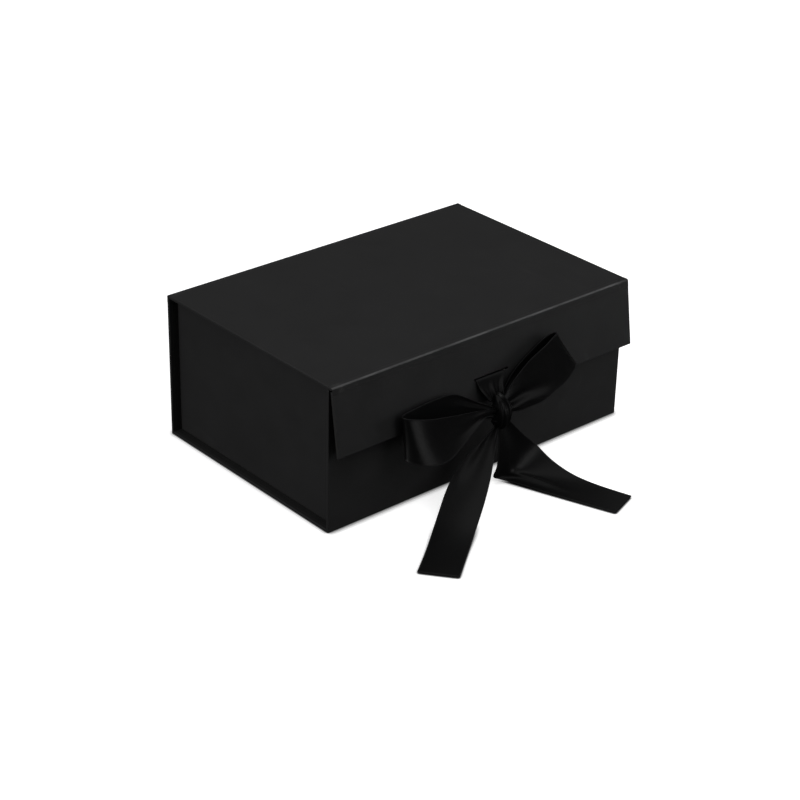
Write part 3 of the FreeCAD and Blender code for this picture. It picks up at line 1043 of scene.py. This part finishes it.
def build_right_loop():
    """The right loop: it climbs to the right, turns in a narrow end, and comes back along the flap."""
    top = on_flap([(-1.0, 9.2, 46.0), (1.8, 9.4, 41.0), (11.0, 9.8, 32.4), (24.4, 10.0, 24.0),
                   (38.0, 9.8, 18.8), (47.4, 9.2, 14.6), (50.4, 7.6, 14.0), (50.6, 5.4, 14.4),
                   (47.0, 3.4, 15.8), (36.0, 2.4, 20.6), (22.0, 2.4, 27.6), (9.0, 4.0, 36.0),
                   (-1.0, 6.6, 46.0)])
    bottom = on_flap([(-1.0, 9.4, 51.0), (5.0, 12.6, 52.6), (14.8, 14.6, 52.4), (27.0, 15.0, 51.6),
                      (40.0, 14.2, 48.8), (55.5, 13.0, 43.6), (62.0, 11.8, 37.8), (63.4, 8.6, 36.6),
                      (59.0, 4.6, 38.4), (44.0, 2.6, 43.4), (28.0, 2.0, 47.4), (12.0, 3.4, 49.6),
                      (-1.0, 6.4, 51.0)])

    def pleats(s, w):
        reach = 1 - soft_step(s, 0.12, 0.44)
        line = 0.5 + 0.30 * soft_step(s, 0.0, 0.4)
        ridge = 2.3 * bump(w, line, 0.13)
        valley = -2.6 * bump(w, line + 0.22, 0.12)
        belly = 1.2 * np.sin(math.pi * w) * bump(s, 0.3, 0.14)
        back = soft_step(s, 0.75, 0.97) * 0.6 * np.sin(math.tau * 2 * w)
        return reach * (ridge + valley) + back + belly

    ribbon_part("right_loop_ribbon", (top, bottom), "folded", "flap",
                "right_loop", pleats)


class GIFTBOX_OT_bow(bpy.types.Operator):
    """Build the strap, the knot and the two loops of the bow"""

    bl_idname = "gift_box.bow"
    bl_label = "Bow"

    def execute(self, context):
        build_ribbon_end()
        build_strap()
        build_left_loop()
        build_right_loop()
        build_knot()
        return {"FINISHED"}


def build_left_tail():
    """The left tail: it hangs from the knot, fans out and lies forward to the left on the floor."""
    right = [(-3.4, -101.0, 42.0), (-6.0, -102.4, 34.0), (-14.0, -108.8, 24.5), (-23.0, -116.0, 17.0),
             (-37.5, -126.4, 9.4), (-54.0, -137.6, 3.6), (-65.0, -145.4, 1.7), (-97.0, -169.6, 1.3)]
    left = [(-7.6, -100.6, 42.0), (-18.0, -98.4, 33.0), (-31.6, -98.8, 24.0), (-45.0, -102.4, 16.0),
            (-60.0, -111.0, 8.6), (-75.0, -121.4, 3.4), (-85.6, -129.4, 1.7), (-112.8, -149.6, 1.3)]

    def drape(s, w):
        hang = 1 - soft_step(s, 0.1, 0.45)
        return hang * 0.8 * np.sin(math.tau * 1.4 * w + 0.4) + 0.5 * np.sin(math.pi * w) * bump(s, 0.5, 0.2)

    ribbon_part("left_tail_ribbon", (left, right), "hung",
                "left_tail_end", "left_tail", drape)


def build_right_tail():
    """The right tail: it hangs from the knot, turns on a folded inner edge and lies forward to the right."""
    left = [(-4.4, -101.0, 42.0), (-4.4, -102.4, 31.0), (-4.8, -103.0, 20.0), (-4.8, -101.6, 10.0),
            (-4.4, -99.4, 4.0), (-1.2, -101.0, 2.2), (3.4, -109.2, 1.7), (9.8, -126.6, 1.4),
            (18.4, -150.2, 1.3), (28.0, -176.0, 1.2)]
    right = [(3.6, -102.0, 44.0), (10.4, -103.4, 36.0), (18.0, -104.2, 28.0), (26.4, -106.4, 19.4),
             (31.0, -113.0, 12.0), (34.2, -119.6, 7.6), (37.4, -127.6, 4.2), (41.2, -139.6, 2.2),
             (45.4, -152.6, 1.5), (50.6, -167.9, 1.2)]

    def drape(s, w):
        hang = 1 - soft_step(s, 0.05, 0.4)
        fold = bump(s, 0.46, 0.15)
        ridge = 2.2 * bump(w, 0.32, 0.09)
        return hang * 0.7 * np.sin(math.tau * 1.2 * w) + fold * ridge

    ribbon_part("right_tail_ribbon", (left, right), "hung",
                "right_tail_end", "right_tail", drape)


class GIFTBOX_OT_tails(bpy.types.Operator):
    """Build the two ribbon tails"""

    bl_idname = "gift_box.tails"
    bl_label = "Tails"

    def execute(self, context):
        build_left_tail()
        build_right_tail()
        return {"FINISHED"}


# ---------------------------------------------------------------- stage


def area_light(name, power, size, place, target):
    """A soft square light at a place, turned to a target, all in metres."""
    data = bpy.data.lights.new(name, "AREA")
    data.energy = power
    data.size = size
    lamp = bpy.data.objects.new(name, data)
    lamp.location = place
    lamp.rotation_mode = "QUATERNION"
    lamp.rotation_quaternion = (Vector(target) - Vector(place)).to_track_quat("-Z", "Y")
    bpy.context.scene.collection.objects.link(lamp)
    return lamp


def place_camera(lens):
    """The camera, from its direction round the target, its distance and its roll."""
    azimuth, elevation, roll = -0.72377, 0.48401, 0.02311
    distance, target = 1.39273, Vector((0.013584, 0.012806, 0.007209))
    back = Vector((math.sin(azimuth) * math.cos(elevation),
                   -math.cos(azimuth) * math.cos(elevation), math.sin(elevation)))
    right = (-back).cross(Vector((0, 0, 1))).normalized()
    up = right.cross(-back)
    turned_right = right * math.cos(roll) + up * math.sin(roll)
    turned_up = up * math.cos(roll) - right * math.sin(roll)
    data = bpy.data.cameras.new("camera")
    data.lens, data.sensor_width = lens, 36.0
    data.shift_x = 0.001
    data.clip_start, data.clip_end = 0.05, 60.0
    camera = bpy.data.objects.new("camera", data)
    matrix = Matrix((turned_right, turned_up, back)).transposed().to_4x4()
    matrix.translation = target + back * distance
    camera.matrix_world = matrix
    bpy.context.scene.collection.objects.link(camera)
    bpy.context.scene.camera = camera


class GIFTBOX_OT_stage(bpy.types.Operator):
    """Build the floor, the lights and the camera"""

    bl_idname = "gift_box.stage"
    bl_label = "Stage"

    def execute(self, context):
        settings = context.scene.gift_box_stage
        context.scene.view_settings.view_transform = "Standard"
        reach = 40.0
        mesh = bpy.data.meshes.new("floor")
        corners = np.array([(-reach, -reach, 0), (reach, -reach, 0), (reach, reach, 0), (-reach, reach, 0)])
        mesh.from_pydata(corners.tolist(), [], [(0, 1, 2, 3)])
        floor = bpy.data.objects.new("floor", mesh)
        context.scene.collection.objects.link(floor)
        mesh.materials.append(floor_material(settings.floor_colour))
        world = bpy.data.worlds.new("soft_room")
        world.use_nodes = True
        room = Tree(world.node_tree)
        sky = room.node("SeparateXYZ", Vector=room.node("TexCoord").outputs["Generated"])
        ceiling = room.ramp(sky.outputs["Z"], 0.5, 0.8)
        glow = room.maths("MULTIPLY_ADD", ceiling, settings.world_strength, settings.wall_strength)
        room.put(world.node_tree.nodes["Background"], "Strength", glow)
        world.node_tree.nodes["Background"].inputs["Color"].default_value = (1.0, 1.0, 1.0, 1.0)
        context.scene.world = world
        soft = [
            area_light("front_light", settings.front_power, 1.0, (0.3, -1.35, 0.9), (0, -0.1, 0.05)),
            area_light("right_light", settings.right_power, 0.25, (0.6, -0.46, 0.11), (0.05, -0.1, 0.05)),
            area_light("top_light", settings.top_power, 0.9, (0.6, 0.3, 1.4), (0, 0, 0.05))]
        for lamp in soft:
            lamp.visible_glossy = False
        card = area_light("front_card", settings.card_power, 0.6, (-0.02, -1.5, 0.13), (0, -0.1, 0.07))
        card.visible_diffuse = False
        area_light("left_light", settings.left_power, 0.8, (-1.6, 0.15, 0.38), (-0.1, 0, 0.05))
        place_camera(settings.lens)
        return {"FINISHED"}


class GIFTBOX_PT_parts(bpy.types.Panel):
    """Lists the steps that build the gift box"""

    bl_label = "Gift Box"
    bl_space_type = "VIEW_3D"
    bl_region_type = "UI"
    bl_category = "Gift Box"

    def draw(self, context):
        for operator in OPERATORS:
            self.layout.operator(operator.bl_idname)
        for group in ("gift_box_paper", "gift_box_ribbon", "gift_box_stage"):
            settings = getattr(context.scene, group)
            box = self.layout.box()
            for label in settings.__annotations__:
                box.prop(settings, label)


OPERATORS = (GIFTBOX_OT_tray, GIFTBOX_OT_lid, GIFTBOX_OT_flap, GIFTBOX_OT_fittings, GIFTBOX_OT_bow,
             GIFTBOX_OT_tails, GIFTBOX_OT_stage)
SETTINGS = {"gift_box_paper": PaperSettings, "gift_box_ribbon": RibbonSettings,
            "gift_box_stage": StageSettings}


def register():
    """Registers the settings, operators and panel."""
    for kind in (*SETTINGS.values(), *OPERATORS, GIFTBOX_PT_parts):
        bpy.utils.register_class(kind)
    for name, kind in SETTINGS.items():
        setattr(bpy.types.Scene, name, PointerProperty(type=kind))


def unregister():
    """Takes them away again."""
    for name in SETTINGS:
        delattr(bpy.types.Scene, name)
    for kind in reversed((*SETTINGS.values(), *OPERATORS, GIFTBOX_PT_parts)):
        bpy.utils.unregister_class(kind)


def main():
    """Builds the whole gift box."""
    register()
    for name in ("tray", "lid", "flap", "fittings", "bow", "tails", "stage"):
        getattr(bpy.ops.gift_box, name)()


if __name__ == "__main__":
    main()
